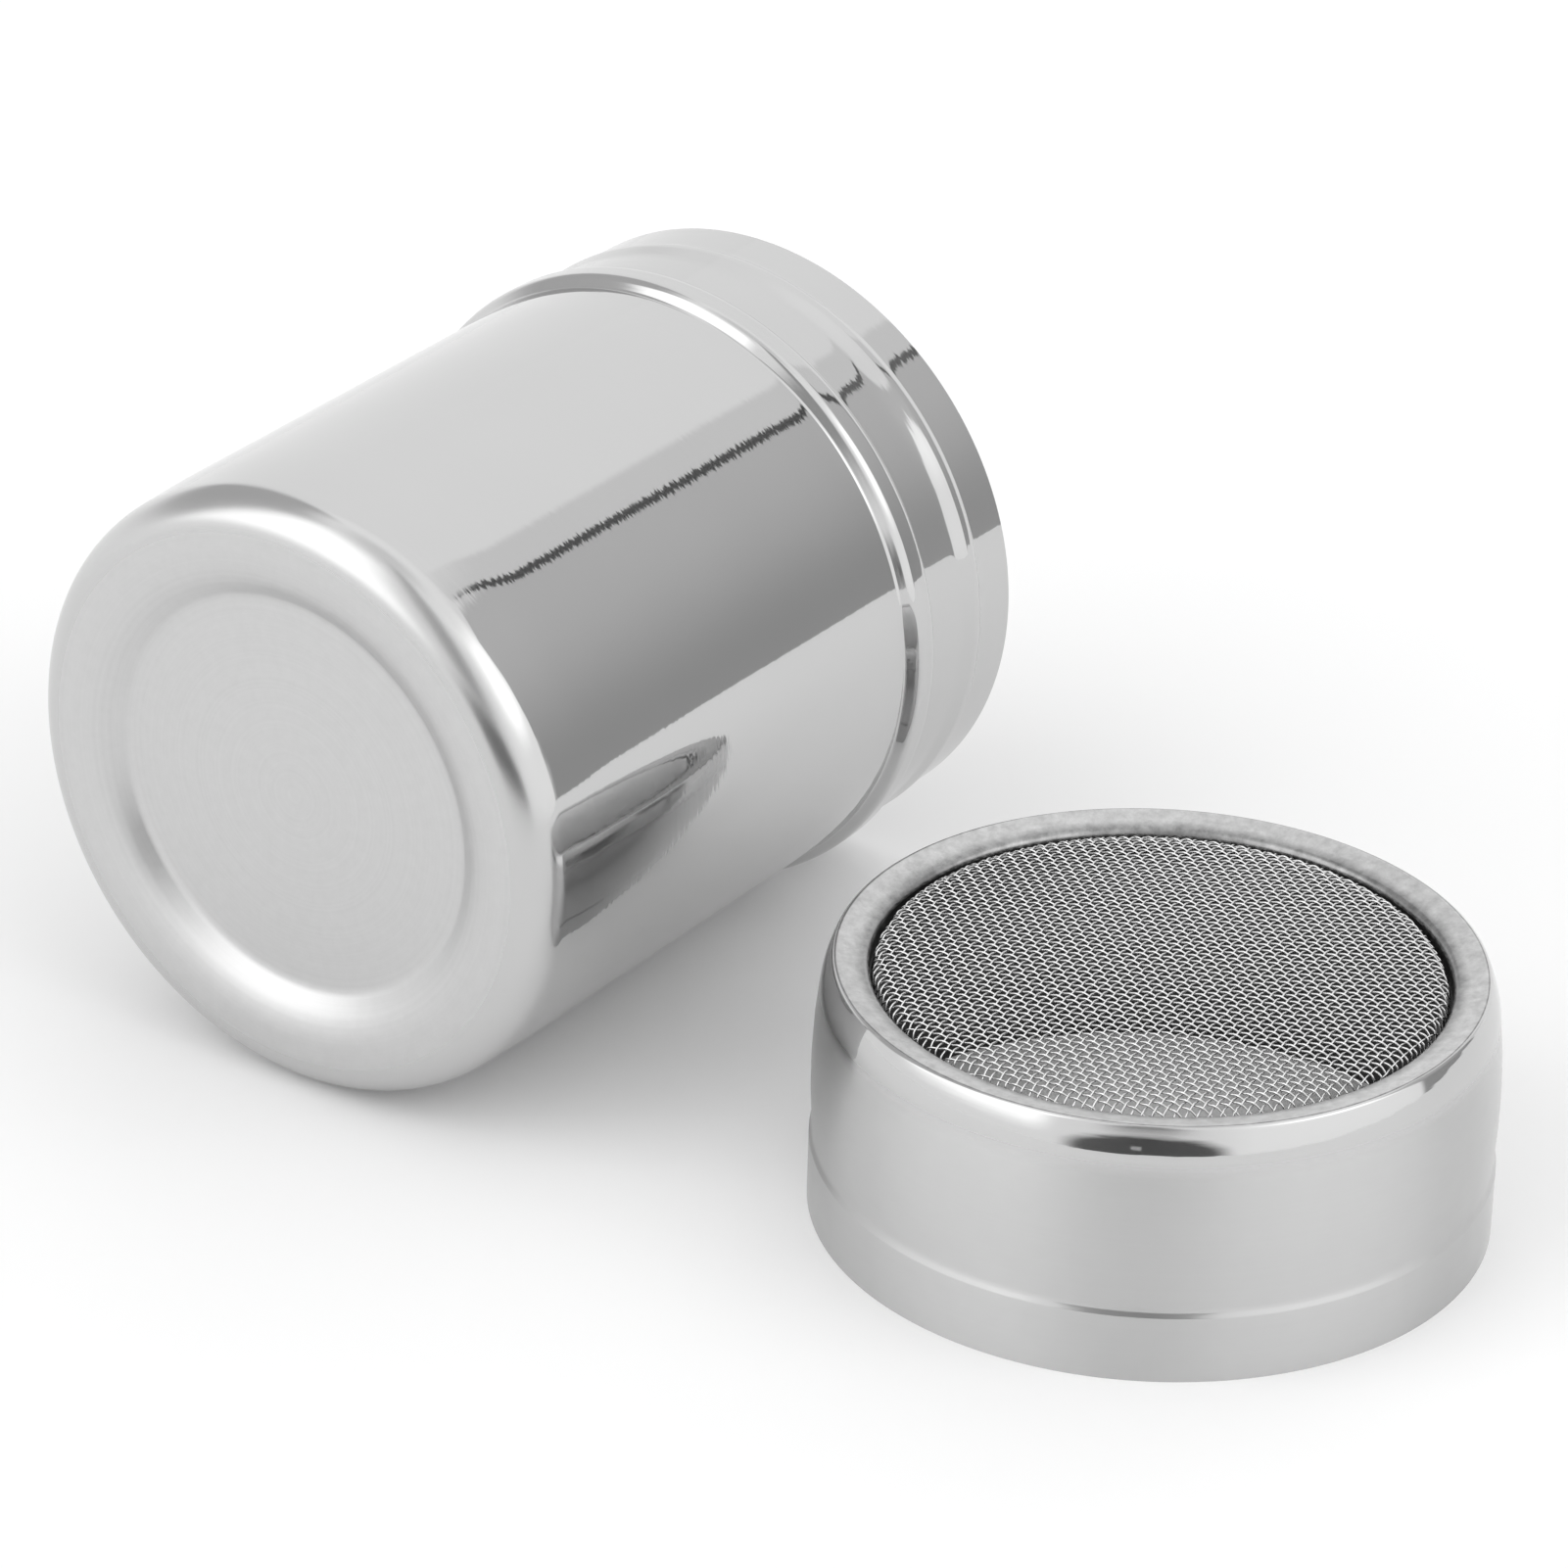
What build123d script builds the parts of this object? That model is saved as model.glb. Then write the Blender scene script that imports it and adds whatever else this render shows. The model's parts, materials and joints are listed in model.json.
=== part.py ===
from build123d import *
import math
import os

# Driving sizes in millimetres and degrees.  "s" runs along the cup's axis from its base to
# its mouth, and "z" runs up the lid from the edge of its skirt.
sheet = 0.5                      # steel sheet that the cup and the lid are drawn from
body_radius = 34.8               # outside of the cup's wall
base_round = 4.6                 # rounded edge between wall and base
foot_flat = 3.9                  # width of the flat ring that the cup stands on
panel_slope = 3.6                # width of the slope between foot ring and panel
panel_depth = 2.4                # how far the panel inside the ring is pushed in
panel_bend = 2.4                 # bend where the slope meets the panel
foot_crown = 9.0                 # slow bend where it meets the foot ring

stop_start = 64.9                # s where the stop bead leaves the wall
stop_flank = 1.15                # length of each side of the stop bead
stop_crown = 2.8                 # length of its top
stop_bend = 1.5                  # rounding of its top corners
stop_inset = 0.05                # its top lies this far inside the outside of the lid's skirt
grip_rise = 0.35                 # how far the grip bead stands out of the neck
grip_climb = 2.2                 # length of its slow side, towards the base
grip_ease = 8.0                  # slow bend where that side leaves the neck
grip_land = 0.8                  # flat top of the grip bead, which the lid slides over
grip_bend = 1.0                  # rounding of its top corners
grip_drop = 0.9                  # length of its steep side, towards the mouth
grip_reach = 1.15                # how far the land reaches above the crease of a seated lid
mouth_band = 5.4                 # plain band from the grip bead to the mouth
foot_bend = 0.6                  # inward bends where a bead leaves the wall

fit_gap = 0.07                   # between grip bead and lid wall
crease_step = 0.28               # the skirt stands out this much from the wall above it
crease_height = 7.4              # height of the skirt band
crease_rise = 0.75               # height over which the skirt steps in
belly_bulge = 0.25               # the lid wall swells this much between crease and shoulder
belly_height = 15.2              # z of the widest place of the lid wall
shoulder_height = 24.5           # z where the shoulder starts to turn in
shoulder_inset = 0.37            # how far in from the waist the shoulder starts
shoulder_round = 13.0            # slow curve of the shoulder
shoulder_lean = 25.0             # lean of the wall where the rim's tight roll takes over
rim_round = 1.1                  # tight roll round the top of the lid
flange_slope = 34.0              # fall of the flange from the roll to the window
flange_length = 2.43             # length of that fall
lip_bend = 0.7                   # bend where the flange turns down round the window
lip_drop = 1.2                   # straight edge below that bend

wire_width = 0.25                # wire of the screen
wire_pitch = 0.94                # from wire to wire
wire_turn = 3.0                  # the weave's turn from the cup's axis
layer_gap = 0.2                  # air between the two layers of wire
screen_gap = 0.3                 # between the screen's side and the window, all round
screen_rise = 3.32               # how far the crown stands up from its hem at the side
screen_dome = 1.3                # further rise from there to the centre
crown_power = 20                 # how square the crown's corner is; higher is squarer
bend_rings = (0.6, 0.9, 0.97, 1.0)   # rings where wires bend, as shares of the crown's radius
hem_thickness = 0.5              # solid hem that is clamped round the screen
hem_width = 1.6                  # how far the hem reaches outside the screen's side
wire_root = 0.25                 # how deep the wire ends sit in the hem

ring_sheet = 0.5                 # sheet of the retaining ring
ring_band = 3.6                  # height of the ring's upright band
ring_bend = 0.7                  # outer bend between the ring's shelf and its band
seat_gap = 0.02                  # between pieces that are pressed together

lid_across = -85.8               # the lid's place beside the cup, from the cup's axis
lid_along = 38.9                 # and from the cup's base
lid_lift = 120.0                 # how far the lid is lifted clear

# Sizes that follow from the driving sizes.
grip_radius = body_radius + grip_rise
waist_radius = grip_radius + fit_gap + sheet
skirt_radius = waist_radius + crease_step
skirt_bore = skirt_radius - sheet
stop_radius = skirt_radius - stop_inset
stop_end = stop_start + 2 * stop_flank + stop_crown
seat_share = (stop_radius - skirt_bore) / (stop_radius - body_radius)
lid_seat = stop_end - stop_flank * (1 - seat_share)
grip_start = lid_seat + crease_height + crease_rise + grip_reach - grip_land - grip_climb
grip_end = grip_start + grip_climb + grip_land + grip_drop
cup_height = grip_end + mouth_band
second_layer = wire_width + layer_gap
cup_lean = math.degrees(math.asin((stop_radius - body_radius) / (stop_start + stop_flank - base_round)))


def bend_path(corners):
    """Join (r, z, radius) corners by straight lines, with an arc of that radius at each."""
    edges = []
    start = Vector(*corners[0][:2])
    for i in range(1, len(corners) - 1):
        corner = Vector(*corners[i][:2])
        radius = corners[i][2]
        back = (Vector(*corners[i - 1][:2]) - corner).normalized()
        ahead = (Vector(*corners[i + 1][:2]) - corner).normalized()
        half = math.radians(back.get_angle(ahead)) / 2
        arc_start = corner + back * (radius / math.tan(half))
        arc_end = corner + ahead * (radius / math.tan(half))
        arc_middle = corner + (back + ahead).normalized() * (radius / math.sin(half) - radius)
        edges += [Line(start, arc_start), ThreePointArc(arc_start, arc_middle, arc_end)]
        start = arc_end
    return edges + [Line(start, Vector(*corners[-1][:2]))]


def spin_sheet(profile, thickness):
    """Turn a profile in the r-z plane into a sheet that lies to the profile's left."""
    outline = offset(profile, thickness, side=Side.LEFT, closed=True)
    return revolve(Plane.XZ * make_face(outline), Axis.Z)


def stop_bead():
    """Corners of the high bead that the lid's skirt rests on."""
    return [
        (body_radius, stop_start, foot_bend),
        (stop_radius, stop_start + stop_flank, stop_bend),
        (stop_radius, stop_end - stop_flank, stop_bend),
        (body_radius, stop_end, foot_bend),
    ]


def grip_bead():
    """Corners of the low bead that the lid's wall slides over."""
    return [
        (body_radius, grip_start, grip_ease),
        (grip_radius, grip_start + grip_climb, grip_bend),
        (grip_radius, grip_end - grip_drop, grip_bend),
        (body_radius, grip_end, foot_bend),
    ]


def cup():
    """Drawn cup: dished base, straight wall, stop bead, grip bead and open mouth."""
    foot_inside = body_radius - base_round - foot_flat
    panel_radius = foot_inside - panel_slope
    return spin_sheet(
        Wire(bend_path(
            [(0, panel_depth, 0), (panel_radius, panel_depth, panel_bend)]
            + [(foot_inside, 0, foot_crown), (body_radius, 0, base_round)]
            + stop_bead()
            + grip_bead()
            + [(body_radius, cup_height, 0)]
        )),
        sheet,
    )


def lid_outline():
    """Outer profile of the lid, from the skirt's edge up, over the rim and down to the lip."""
    crease_top = crease_height + crease_rise
    skirt = bend_path([
        (skirt_radius, 0, 0),
        (skirt_radius, crease_height, foot_bend),
        (waist_radius, crease_top, foot_bend),
        (waist_radius, crease_top + foot_bend, 0),
    ])
    wall = ThreePointArc(
        skirt[-1] @ 1,
        (waist_radius + belly_bulge, belly_height),
        (waist_radius - shoulder_inset, shoulder_height),
    )
    wall_lean = math.degrees(math.atan2(-(wall % 1).X, (wall % 1).Y))
    shoulder = JernArc(wall @ 1, wall % 1, shoulder_round, shoulder_lean - wall_lean)
    roll = JernArc(shoulder @ 1, shoulder % 1, rim_round, 90 + flange_slope - shoulder_lean)
    flange = Line(roll @ 1, (roll @ 1) + (roll % 1) * flange_length)
    lip = JernArc(flange @ 1, flange % 1, lip_bend, 90 - flange_slope)
    edge = Line(lip @ 1, (lip @ 1) + (lip % 1) * lip_drop)
    return skirt + [wall, shoulder, roll, flange, lip, edge]


lid_profile = Wire(lid_outline())
window_radius = (lid_profile @ 1).X
crown_radius = window_radius - screen_gap
hem_top = (lid_profile @ 1).Y - seat_gap
shelf_top = hem_top - hem_thickness - seat_gap


def lid_shell():
    """Pressed lid: stepped skirt, swelling wall, rolled rim and flange round the window."""
    return spin_sheet(lid_profile, sheet)


def lid_bore(z):
    """Inside radius of the lid's wall at this height."""
    inside = offset(lid_profile, sheet, side=Side.LEFT, closed=False)
    return max(point.X for point in inside.intersect(Line((0, z), (2 * skirt_radius, z))))


def crown_height(r, depth):
    """Height above the hem of the crown that lies this deep inside the screen's surface."""
    share = min(r / (crown_radius - depth), 1)
    side = (screen_rise - depth) * math.sqrt(1 - share**crown_power)
    return side + screen_dome * (1 - share**2)


def wire(offset_y, depth):
    """One wire along X at this Y, bent where it crosses the rings."""
    half = [
        (math.sqrt(r * r - offset_y * offset_y), crown_height(r, depth))
        for r in [share * (crown_radius - depth) for share in bend_rings]
        if r > abs(offset_y)
    ]
    half[-1] = (half[-1][0], -wire_root)
    top = crown_height(abs(offset_y), depth)
    points = [(-x, z) for x, z in reversed(half)] + [(0, top)] + half
    outline = offset(Polyline(*points), wire_width, side=Side.RIGHT, closed=True)
    blank = extrude(Plane.XZ * make_face(outline), wire_width / 2, both=True)
    return Pos(0, offset_y, hem_top) * blank


def wire_layer(depth):
    """Parallel wires across the crown, as far out as a wire still bends down to the hem."""
    last = int((crown_radius - depth - 2 * wire_width) / wire_pitch)
    return [wire(i * wire_pitch, depth) for i in range(-last, last + 1)]


def mesh_screen():
    """Crowned wire screen: two crossing layers of wire held in one flat hem."""
    inner = crown_radius - second_layer - 2 * wire_width
    outer = crown_radius + hem_width
    hem = Pos(0, 0, hem_top - hem_thickness) * extrude(Circle(outer) - Circle(inner), hem_thickness)
    across = [Rot(0, 0, 90) * strand for strand in wire_layer(second_layer)]
    screen = hem.fuse(*wire_layer(0), *across)
    return Rot(0, 0, wire_turn) * screen


def retaining_ring():
    """Ring pressed up inside the lid: its shelf clamps the hem, its band grips the wall."""
    inner = window_radius - screen_gap
    band = lid_bore(shelf_top - ring_bend) - seat_gap
    return spin_sheet(
        Wire(bend_path([
            (band, shelf_top - ring_band, 0),
            (band, shelf_top, ring_bend),
            (inner, shelf_top, 0),
        ])),
        ring_sheet,
    )


def place_on_side(shape):
    """Lay the upright cup along X, resting on its base edge and its stop bead."""
    lying = Rot(0, 90 - cup_lean, 0) * shape
    return Pos(0, 0, -lying.bounding_box().min.Z) * lying


lid_place = Pos(lid_along, lid_across, 0)
nodes = {
    "cup": place_on_side(cup()),
    "lid_shell": lid_place * lid_shell(),
    "mesh_screen": lid_place * mesh_screen(),
    "retaining_ring": lid_place * retaining_ring(),
}
bounds = Compound(list(nodes.values())).bounding_box()
centre = Pos(-bounds.center().X, -bounds.center().Y, -bounds.min.Z)
os.makedirs("parts", exist_ok=True)
for name, shape in nodes.items():
    export_step(centre * shape, f"parts/{name}.step")
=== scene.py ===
# %% [markdown]
# # A steel spice shaker, taken apart on a table
# The shaker is a drawn cup, lying on its side, and a slip-on lid with a crowned wire screen.
# The solids already hold every size and place, so they are loaded first and stay a fixed frame.
# What follows gives that frame its looks: smooth polished sheet, woven wire and a studio to
# mirror.  Lengths are written in millimetres and turned into metres where Blender takes them.

# %% Load the frame
import json
import math

import bpy
import numpy as np
from mathutils import Matrix, Vector


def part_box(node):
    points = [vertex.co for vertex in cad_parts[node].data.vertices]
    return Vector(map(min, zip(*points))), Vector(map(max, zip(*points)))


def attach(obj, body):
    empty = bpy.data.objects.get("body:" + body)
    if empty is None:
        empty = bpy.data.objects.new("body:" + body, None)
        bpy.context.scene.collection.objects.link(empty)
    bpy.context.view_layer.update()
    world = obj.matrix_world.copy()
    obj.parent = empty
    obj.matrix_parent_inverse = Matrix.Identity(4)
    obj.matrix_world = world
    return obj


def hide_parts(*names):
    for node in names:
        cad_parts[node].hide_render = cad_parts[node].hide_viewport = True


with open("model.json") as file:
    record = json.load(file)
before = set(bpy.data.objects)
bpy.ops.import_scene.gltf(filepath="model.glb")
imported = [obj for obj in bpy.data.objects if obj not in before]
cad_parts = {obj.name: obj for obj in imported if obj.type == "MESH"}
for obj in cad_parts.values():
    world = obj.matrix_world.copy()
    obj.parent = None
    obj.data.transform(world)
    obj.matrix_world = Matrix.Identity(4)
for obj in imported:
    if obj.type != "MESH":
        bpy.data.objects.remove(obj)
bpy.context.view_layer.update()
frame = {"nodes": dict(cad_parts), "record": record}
MM = 0.001
mounts = {mount["name"]: mount for mount in frame["record"]["mounts"]}

# %% [markdown]
# ## Where the cup and the lid are
# The mounts say it all: the foot's normal points away from the cup, so the cup's axis is its
# reverse, and the neck's place lies on that axis.  The lid stands upright over its skirt's centre.

# %% Axes of the two pieces
cup_axis = -Vector(mounts["cup_foot"]["axis"]).normalized()
neck_place = Vector(mounts["neck_land"]["pos_m"])
neck_height = (neck_place - Vector(mounts["cup_foot"]["pos_m"])).dot(cup_axis)
cup_place = neck_place - cup_axis * neck_height
lid_place = Vector(mounts["skirt_bore"]["pos_m"])
lid_place.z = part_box("lid_shell")[0].z


def upright_to(axis, place):
    """Matrix that takes a piece drawn round +Z to this axis and this place."""
    turn = Vector((0, 0, 1)).rotation_difference(axis).to_matrix().to_4x4()
    return Matrix.Translation(place) @ turn


cup_frame = upright_to(cup_axis, cup_place)
lid_frame = Matrix.Translation(lid_place)
print("cup leans up by", round(math.degrees(math.asin(cup_axis.z)), 2), "degrees")

# %% [markdown]
# ## The camera
# A long lens from about 0.8 m away, looking down at the pair.  A long lens keeps the ellipses
# of base, rim and lid close to true, as in a catalogue view.

# %% Camera
CAMERA_PLACE = Vector((-0.5733, -0.3949, 0.3979))
CAMERA_HEADING = math.radians(35.103)
CAMERA_FALL = math.radians(27.624)
CAMERA_ROLL = math.radians(1.652)
CAMERA_LENS = 169.41
SENSOR_WIDTH = 36


def add_camera():
    """Camera that looks along its heading, down by its fall and rolled by a small angle."""
    level = Vector((math.cos(CAMERA_HEADING), math.sin(CAMERA_HEADING), 0))
    ahead = level * math.cos(CAMERA_FALL) - Vector((0, 0, math.sin(CAMERA_FALL)))
    right = level.cross(Vector((0, 0, 1)))
    above = right.cross(ahead)
    across = right * math.cos(CAMERA_ROLL) + above * math.sin(CAMERA_ROLL)
    upward = above * math.cos(CAMERA_ROLL) - right * math.sin(CAMERA_ROLL)
    data = bpy.data.cameras.new("view")
    data.lens = CAMERA_LENS
    data.sensor_width = SENSOR_WIDTH
    camera = bpy.data.objects.new("view", data)
    turn = Matrix((across, upward, -ahead)).transposed().to_4x4()
    camera.matrix_world = Matrix.Translation(CAMERA_PLACE) @ turn
    bpy.context.scene.collection.objects.link(camera)
    bpy.context.scene.camera = camera
    return camera


print("camera at", tuple(round(v, 3) for v in add_camera().matrix_world.translation))

# %% [markdown]
# ## Nodes written as sums
# Materials, the sky and the modelling trees are all node trees.  Long sums of Math nodes are
# hard to read, so a small class wraps a socket: `a + b`, `1 - mask` or `x ** 2` then add the
# Math nodes by themselves.  Every other node comes from the one method `add`.


# %% A node tree that takes expressions
class Graph:
    """Adds nodes to a tree: first the settings, then values or links for the sockets."""

    def __init__(self, tree):
        self.tree = tree

    def add(self, kind, settings=None, sockets=None):
        """Add a node of this kind and return it."""
        node = self.tree.nodes.new(kind)
        for name, value in (settings or {}).items():
            setattr(node, name, value)
        for name, value in (sockets or {}).items():
            self.feed(node.inputs[name], value)
        return node

    def feed(self, socket, value):
        """Link a term or a socket to this socket, or set its value."""
        if isinstance(value, Term):
            value = value.socket
        if isinstance(value, bpy.types.NodeSocket):
            self.tree.links.new(value, socket)
        else:
            socket.default_value = value

    def term(self, kind, output=0, settings=None, sockets=None):
        """Add a node and return one of its outputs as a term for expressions."""
        return Term(self, self.add(kind, settings, sockets).outputs[output])

    def step(self, value, low, high):
        """Smooth step: 0 below low, 1 above high."""
        ends = {"Value": value, "From Min": low, "From Max": high}
        return self.term("ShaderNodeMapRange", 0, {"interpolation_type": "SMOOTHSTEP"}, ends)


class Term:
    """A socket whose operators add Math nodes."""

    def __init__(self, graph, socket):
        self.graph = graph
        self.socket = socket

    def math(self, operation, *values):
        sockets = dict(enumerate(values))
        return self.graph.term("ShaderNodeMath", 0, {"operation": operation}, sockets)

    def __add__(self, other):
        return self.math("ADD", self, other)

    def __sub__(self, other):
        return self.math("SUBTRACT", self, other)

    def __rsub__(self, other):
        return self.math("SUBTRACT", other, self)

    def __mul__(self, other):
        return self.math("MULTIPLY", self, other)

    def __truediv__(self, other):
        return self.math("DIVIDE", self, other)

    def __rtruediv__(self, other):
        return self.math("DIVIDE", other, self)

    def __pow__(self, power):
        return self.math("POWER", self, power)

    def __mod__(self, other):
        return self.math("MODULO", self, other)

    def __abs__(self):
        return self.math("ABSOLUTE", self)

    def floor(self):
        return self.math("FLOOR", self)

    def sqrt(self):
        return self.math("SQRT", self)

    def sin(self):
        return self.math("SINE", self)

    def cos(self):
        return self.math("COSINE", self)

    def at_least(self, low):
        return self.math("MAXIMUM", self, low)

    def at_most(self, high):
        return self.math("MINIMUM", self, high)

    __radd__ = __add__
    __rmul__ = __mul__


print("expressions ready")

# %% [markdown]
# ## The outline of bent sheet
# Cup and lid are steel sheet, spun and pressed over a form.  A pen walks along the outside of
# the sheet: straight runs and bends, always with the outside on its right.  The inside is the
# same line moved in by the sheet's thickness, so the wall is true everywhere.  Bends get a
# point every few degrees, because a mirror shows the smallest flat.

# %% Pen for a sheet's outline
BEND_STEP = 4
RUN_STEP = 1.2
RADIUS_STEP = 40


def circle_centre(a, b, c):
    """Centre of the circle through three points."""
    ab = b - a
    ac = c - a
    area = 2 * (ab.x * ac.y - ab.y * ac.x)
    x = ac.y * ab.length_squared - ab.y * ac.length_squared
    y = ab.x * ac.length_squared - ac.x * ab.length_squared
    return a + Vector((x, y)) / area


class Pen:
    """Walks along a sheet's outside in the r-z plane and notes points and headings."""

    def __init__(self, r, z, heading):
        self.place = Vector((r, z))
        self.heading = math.radians(heading)
        self.points = [self.place.copy()]
        self.headings = [self.heading]

    def note(self):
        self.points.append(self.place.copy())
        self.headings.append(self.heading)

    def run(self, length):
        """Go straight ahead."""
        steps = math.ceil(length / RUN_STEP)
        for _ in range(steps):
            self.place += Vector((math.cos(self.heading), math.sin(self.heading))) * length / steps
            self.note()
        return self

    def bend(self, radius, degrees):
        """Go round an arc, to the left for positive degrees."""
        steps = max(2, math.ceil(abs(degrees) / BEND_STEP), math.ceil(radius / RADIUS_STEP))
        turn = math.radians(degrees) / steps
        chord = 2 * radius * math.sin(abs(turn) / 2)
        for _ in range(steps):
            way = self.heading + turn / 2
            self.place += Vector((math.cos(way), math.sin(way))) * chord
            self.heading += turn
            self.note()
        return self

    def swell(self, middle, end):
        """Go on one arc through a middle point to an end point."""
        centre = circle_centre(self.place, Vector(middle), Vector(end))
        spoke = self.place - centre
        last = Vector(end) - centre
        start_angle = math.atan2(spoke.y, spoke.x)
        self.heading = start_angle + math.pi / 2
        return self.bend(spoke.length, math.degrees(math.atan2(last.y, last.x) - start_angle))

    def travelled(self):
        """Way walked so far, as the materials will read it."""
        return sum((b - a).length for a, b in zip(self.points, self.points[1:]))

    def follow(self, corners):
        """Run towards each (r, z, radius) corner and bend round it, and end at the last."""
        for corner, after in zip(corners, corners[1:]):
            way = Vector(after[:2]) - Vector(corner[:2])
            turn = math.atan2(way.y, way.x) - self.heading
            turn = (turn + math.pi) % (2 * math.pi) - math.pi
            tangent = corner[2] * math.tan(abs(turn) / 2)
            self.run((Vector(corner[:2]) - self.place).length - tangent)
            self.bend(corner[2], math.degrees(turn))
        return self.run((Vector(corners[-1][:2]) - self.place).length)


print("pen ready: a point every", BEND_STEP, "degrees and every", RUN_STEP, "mm")

# %% [markdown]
# ## Sizes of the sheet parts
# Most of these are the driving sizes of the solids.  Three details are finer than there: the
# cup's wall draws in a little near the base, the crease eases into the lid's wall, and the rim
# rolls tighter, onto a flatter flange.  The neck has two beads: a high one that stops the lid,
# and a low one that the lid's wall slides over.

# %% Cup outline
SHEET = 0.5
BODY = 34.8
BASE_ROUND = 4.6
BASE_DRAFT = 0.4
DRAFT_TOP = 10.0
DRAFT_BEND = 140.0
FOOT_FLAT = 3.9
FOOT_CROWN = 9.0
PANEL_SLOPE = 3.6
PANEL_DEPTH = 2.4
PANEL_BEND = 2.4
BEAD_FOOT = 0.6
STOP = {
    "start": 64.9, "climb": 1.15, "top": 2.8, "drop": 1.15, "rise": 1.15, "bend": 1.5, "ease": 0.6,
}
GRIP = {
    "start": 75.6, "climb": 2.2, "top": 0.8, "drop": 0.9, "rise": 0.35, "bend": 1.0, "ease": 8.0,
}
MOUTH = 84.9


def bead_corners(bead):
    """Four corners of a bead rolled outward from the cup's wall."""
    crest = bead["start"] + bead["climb"]
    return [
        (BODY, bead["start"], bead["ease"]),
        (BODY + bead["rise"], crest, bead["bend"]),
        (BODY + bead["rise"], crest + bead["top"], bead["bend"]),
        (BODY, crest + bead["top"] + bead["drop"], BEAD_FOOT),
    ]


def cup_outline():
    """Panel, foot ring, base edge, wall, two beads and mouth."""
    foot = BODY - BASE_ROUND - FOOT_FLAT
    base = [(foot - PANEL_SLOPE, PANEL_DEPTH, PANEL_BEND), (foot, 0, FOOT_CROWN)]
    wall = [(BODY - BASE_DRAFT, 0, BASE_ROUND), (BODY, DRAFT_TOP, DRAFT_BEND)]
    wall += bead_corners(STOP) + bead_corners(GRIP)
    return Pen(0, PANEL_DEPTH, 0).follow(base + wall + [(BODY, MOUTH, 0)])


cup_line = cup_outline()
print("cup outline:", len(cup_line.points), "points, mouth at", round(cup_line.place.y, 2), "mm")

# %% [markdown]
# ## The lid's outline
# A lid like this is pressed from one disc.  From the skirt's edge the line climbs a plain band,
# steps in at the crease, swells a little, leans in over the shoulder, rolls over the rim and
# falls to the window, where its edge turns down.  The pen also tells how far along the flange
# and the lip start, because the finish changes there.

# %% Lid outline
SKIRT = 36.0
WAIST = 35.72
CREASE = 7.4
CREASE_RISE = 0.75
CREASE_BEND = 0.6
CREASE_EASE = 1.9
BELLY = (35.97, 15.2)
SHOULDER = (35.35, 24.5)
SHOULDER_ROUND = 13.0
SHOULDER_LEAN = 25.0
RIM_ROUND = 0.55
FLANGE_SLOPE = 14.0
FLANGE_LENGTH = 2.72
LIP_BEND = 0.9
LIP_EDGE = 25.632


def lid_outline():
    """Skirt to lip, and the ways along at which the flange and the lip start."""
    step = [(SKIRT, CREASE, CREASE_BEND), (WAIST, CREASE + CREASE_RISE, CREASE_EASE)]
    pen = Pen(SKIRT, 0, 90).follow(step + [(WAIST, CREASE + CREASE_RISE + CREASE_BEND, 0)])
    pen.swell(BELLY, SHOULDER)
    pen.bend(SHOULDER_ROUND, 90 + SHOULDER_LEAN - math.degrees(pen.heading))
    pen.bend(RIM_ROUND, 90 + FLANGE_SLOPE - SHOULDER_LEAN)
    flange_way = pen.travelled()
    pen.run(FLANGE_LENGTH)
    lip_way = pen.travelled()
    pen.bend(LIP_BEND, 90 - FLANGE_SLOPE)
    return pen.run(pen.place.y - LIP_EDGE), flange_way, lip_way


lid_line, flange_way, lip_way = lid_outline()
print("lid outline:", len(lid_line.points), "points, lip at", [round(v, 2) for v in lid_line.place])

# %% [markdown]
# ## Turning an outline into a body
# A lathe does it in the shop.  A Screw modifier could do it here, but a small Geometry Nodes
# tree shows every step, and it hands two numbers on to the materials: `along`, the way
# travelled over the sheet, and `inside`, which is 1 on the inner face.  A grid has one row per
# outline point and one column per step round the axis.  Each grid point looks up its outline
# point by index and is swung round the axis by its column's angle.  The seam and the poles are
# merged afterwards, so the body is closed.

# %% Spinning tree
MERGE_REACH = 0.0005 * MM


def new_tree(name, inputs):
    """Geometry tree with named inputs; returns its graph, the group input and the output."""
    tree = bpy.data.node_groups.new(name, "GeometryNodeTree")
    tree.interface.new_socket("Geometry", in_out="INPUT", socket_type="NodeSocketGeometry")
    for label, kind in inputs.items():
        tree.interface.new_socket(label, in_out="INPUT", socket_type="NodeSocket" + kind)
    tree.interface.new_socket("Geometry", in_out="OUTPUT", socket_type="NodeSocketGeometry")
    graph = Graph(tree)
    return graph, graph.add("NodeGroupInput"), graph.add("NodeGroupOutput")


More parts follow.
